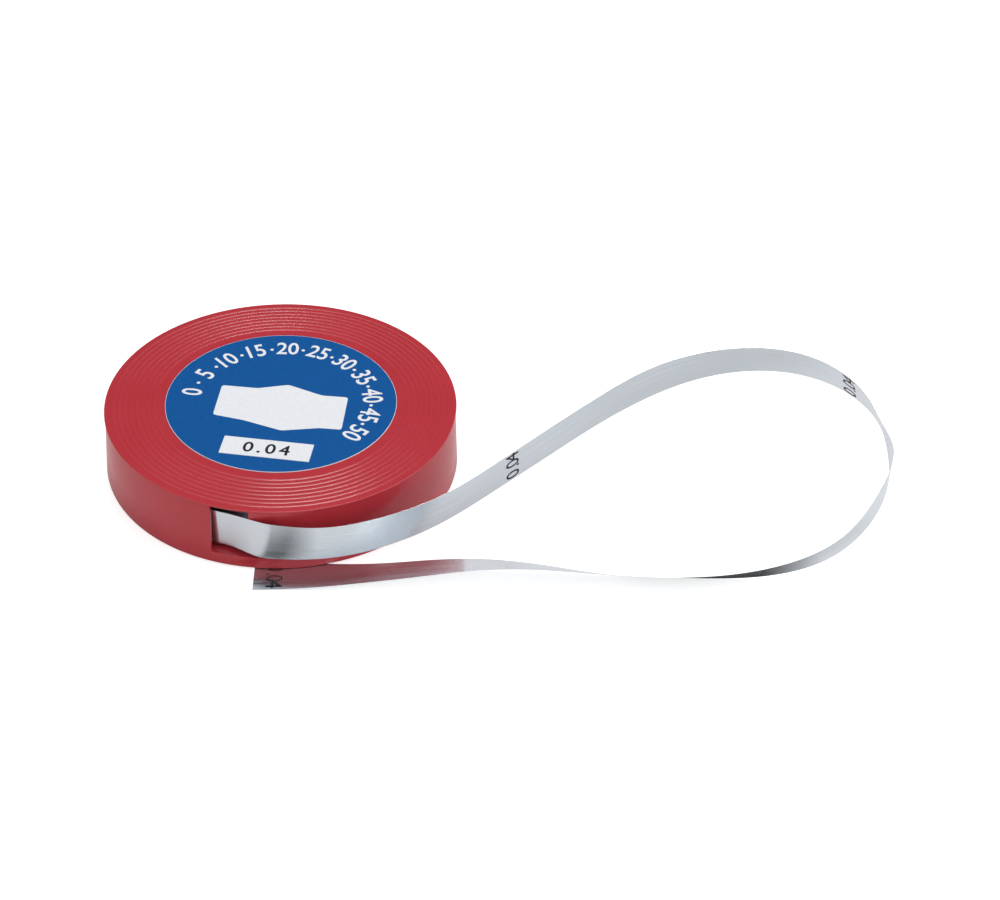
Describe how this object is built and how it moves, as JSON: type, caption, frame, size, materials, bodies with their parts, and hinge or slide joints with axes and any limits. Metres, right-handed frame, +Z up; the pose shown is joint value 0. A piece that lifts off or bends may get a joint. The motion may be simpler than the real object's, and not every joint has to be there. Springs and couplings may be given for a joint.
{
  "type": "shim stock roll",
  "caption": "Thin spring-steel shim band coiled in a flat round plastic dispenser case, its free end fed out through a side window and looped round on the floor.",
  "frame": {"origin": "on the case's axis, at the level floor that the case stands on", "axes": "+Z up along the case's axis, +X towards the far end of the band's free loop, -Y towards the side where the band leaves through the window"},
  "size_m": [0.2532, 0.139, 0.0437],
  "materials": {
    "red_plastic": "moulded, half gloss",
    "blue_label": "printed film",
    "white_label": "printed film",
    "spring_steel": "bright rolled"
  },
  "bodies": {
    "root": {"case_body": "red_plastic", "case_lid": "red_plastic", "label": "blue_label", "size_sticker": "white_label", "steel_band": "spring_steel"}
  },
  "joints": []
}
